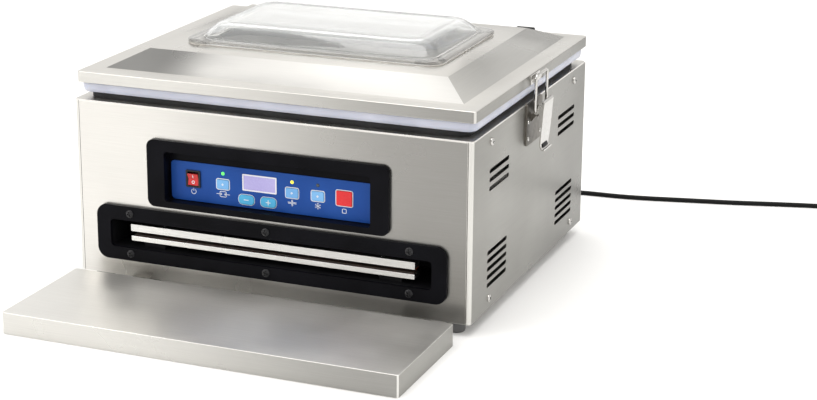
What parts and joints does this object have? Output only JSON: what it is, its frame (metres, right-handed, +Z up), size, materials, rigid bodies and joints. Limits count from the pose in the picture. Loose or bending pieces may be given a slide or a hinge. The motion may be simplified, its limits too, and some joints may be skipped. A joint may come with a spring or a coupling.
{
  "type": "vacuum sealer",
  "caption": "Table-top vacuum sealer with a lidded chamber, clear domed window, front sealing slot, key panel, a side draw latch, bag shelf and mains lead.",
  "frame": {"origin": "on the surface it stands on, under the middle of the footprint from the front of the tray to the back of the hinges", "axes": "+Z up, -Y to the front with the control panel, +X to the right as seen from the front"},
  "size_m": [0.7667, 0.85, 0.258],
  "materials": {
    "steel": "fine brushed grain, softly polished edges",
    "bright_steel": "polished plated steel",
    "black_plastic": "black moulded plastic, satin",
    "blue_film": "printed blue membrane film",
    "light_blue_key": "light blue keys",
    "red_key": "red keys",
    "white_plastic": "white frame",
    "display_lens": "lavender display lens",
    "led_green": "green lamp",
    "led_yellow": "yellow lamp",
    "led_dark": "unlit lamp",
    "board": "printed circuit board",
    "aluminium": "extruded bar, satin",
    "tape": "woven non-stick tape",
    "silicone_red": "silicone strip",
    "gasket": "translucent silicone",
    "clear": "clear acrylic",
    "dark_rubber": "dark rubber",
    "grey_rubber": "grey rubber feet",
    "black_steel": "black coated steel",
    "cast": "painted pump casting",
    "copper_core": "varnished transformer",
    "cord_black": "black flexible lead"
  },
  "bodies": {
    "housing": {"base_pan": "steel", "front_panel": "steel", "side_panel_left": "steel", "side_panel_right": "steel", "rear_panel": "steel", "top_deck": "steel", "chamber_tub": "steel", "panel_bezel": "black_plastic", "panel_backplate": "black_plastic", "membrane_panel": "blue_film", "display_frame": "white_plastic", "display_window": "display_lens", "led_vacuum": "led_green", "led_seal": "led_yellow", "led_cool": "led_dark", "switch_frame": "black_plastic", "control_board": "board", "slot_bezel": "black_plastic", "bezel_screws": "black_steel", "slot_liner": "black_steel", "lower_seal_bar": "aluminium", "heating_strip": "tape", "jaw_actuators": "aluminium", "side_screws": "bright_steel", "feet": "grey_rubber", "hinge_brackets": "black_steel", "hinge_pins": "bright_steel", "latch_base": "bright_steel", "latch_pin": "bright_steel", "rail_guides": "black_plastic", "vacuum_pump": "cast", "transformer": "copper_core", "vacuum_hose": "dark_rubber", "cord_gland": "black_plastic", "mains_cord": "cord_black", "cord_coil": "cord_black", "plug": "cord_black"},
    "lid": {"lid_shell": "steel", "lid_liner": "steel", "lid_gasket": "gasket", "lid_window": "clear", "window_seal": "dark_rubber", "hinge_arms": "black_steel", "keeper": "bright_steel"},
    "lever": {"latch_lever": "bright_steel"},
    "bail": {"latch_bail": "bright_steel"},
    "tray": {"tray": "steel", "tray_rails": "steel"},
    "rocker": {"power_rocker": "red_key"},
    "key_vacuum": {"button_vacuum": "light_blue_key"},
    "key_minus": {"button_minus": "light_blue_key"},
    "key_plus": {"button_plus": "light_blue_key"},
    "key_seal": {"button_seal": "light_blue_key"},
    "key_cool": {"button_cool": "light_blue_key"},
    "key_stop": {"button_stop": "red_key"},
    "upper_jaw": {"upper_seal_bar": "aluminium", "silicone_strip": "silicone_red"}
  },
  "joints": [
    {"name": "lid_hinge", "type": "hinge", "parent": "housing", "child": "lid", "pos_m": [-0.0075, 0.266, 0.2195], "axis": [-1, 0, 0], "range_deg": [0, 75]},
    {"name": "lever_swing", "type": "hinge", "parent": "housing", "child": "lever", "pos_m": [0.2185, 0.074, 0.1905], "axis": [0, -1, 0], "range_deg": [0, 110]},
    {"name": "bail_swing", "type": "hinge", "parent": "lever", "child": "bail", "pos_m": [0.215, 0.074, 0.186], "axis": [0, 1, 0], "range_deg": [0, 127]},
    {"name": "tray_slide", "type": "slide", "parent": "housing", "child": "tray", "axis": [0, -1, 0], "range_m": [-0.018, 0.08]},
    {"name": "rocker_tip", "type": "hinge", "parent": "housing", "child": "rocker", "pos_m": [-0.0925, -0.0955, 0.1235], "axis": [-1, 0, 0], "range_deg": [0, 16]},
    {"name": "jaw_press", "type": "slide", "parent": "housing", "child": "upper_jaw", "axis": [0, 0, -1], "range_m": [0, 0.004], "stiffness_N_per_m": 1500, "springref_m": -0.002},
    {"name": "vacuum_key_press", "type": "slide", "parent": "housing", "child": "key_vacuum", "axis": [0, 1, 0], "range_m": [0, 0.0008], "stiffness_N_per_m": 800},
    {"name": "minus_key_press", "type": "slide", "parent": "housing", "child": "key_minus", "axis": [0, 1, 0], "range_m": [0, 0.0008], "stiffness_N_per_m": 800},
    {"name": "plus_key_press", "type": "slide", "parent": "housing", "child": "key_plus", "axis": [0, 1, 0], "range_m": [0, 0.0008], "stiffness_N_per_m": 800},
    {"name": "seal_key_press", "type": "slide", "parent": "housing", "child": "key_seal", "axis": [0, 1, 0], "range_m": [0, 0.0008], "stiffness_N_per_m": 800},
    {"name": "cool_key_press", "type": "slide", "parent": "housing", "child": "key_cool", "axis": [0, 1, 0], "range_m": [0, 0.0008], "stiffness_N_per_m": 800},
    {"name": "stop_key_press", "type": "slide", "parent": "housing", "child": "key_stop", "axis": [0, 1, 0], "range_m": [0, 0.0008], "stiffness_N_per_m": 800}
  ],
  "couplings": [
    {"joint": "bail_swing", "follows": "lever_swing", "ratio": 1.15}
  ]
}
